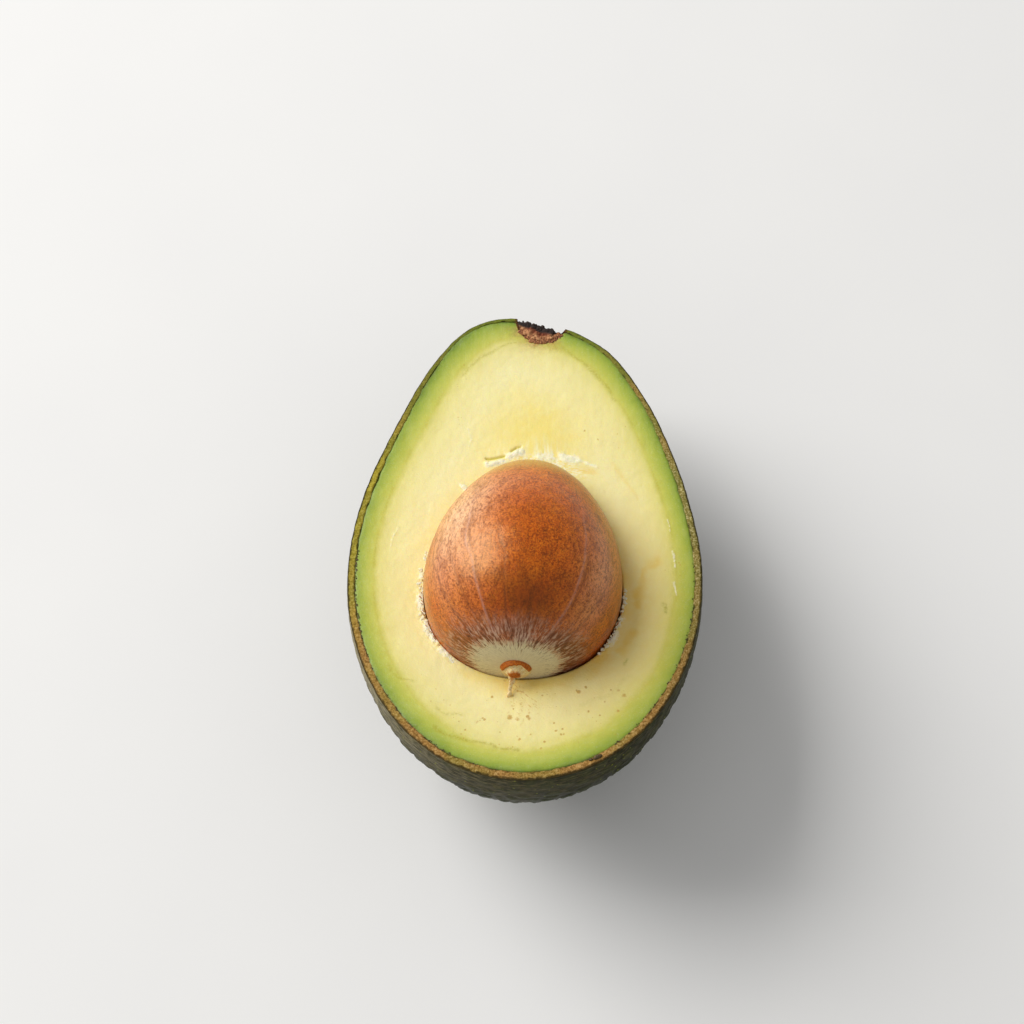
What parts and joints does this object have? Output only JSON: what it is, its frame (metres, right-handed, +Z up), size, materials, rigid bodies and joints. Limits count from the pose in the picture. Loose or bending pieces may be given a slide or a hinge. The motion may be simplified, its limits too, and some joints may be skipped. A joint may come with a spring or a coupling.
{
  "type": "avocado half with seed",
  "caption": "Half of a ripe avocado lying on its skin, cut face up, with the seed still seated in the flesh.",
  "frame": {"origin": "middle of the small flat spot on the skin that the half rests on", "axes": "+Z up, out of the cut face apart from its 6.5 degree lean; +Y level, towards the stem end; +X to the right of the cut face seen with the stem end up"},
  "size_m": [0.0651, 0.0984, 0.0556],
  "materials": {
    "peel": "pebbled waxy skin, satin",
    "flesh": "moist buttery cut flesh, green next to the skin",
    "seed": "smooth brown seed coat with fine veins, satin",
    "stalk": "corky, matt",
    "stem": "dry crumbling bark, matt"
  },
  "bodies": {
    "root": {"peel": "peel", "flesh": "flesh", "seed": "seed", "seed_stalk": "stalk", "stem_plug": "stem"}
  },
  "joints": []
}
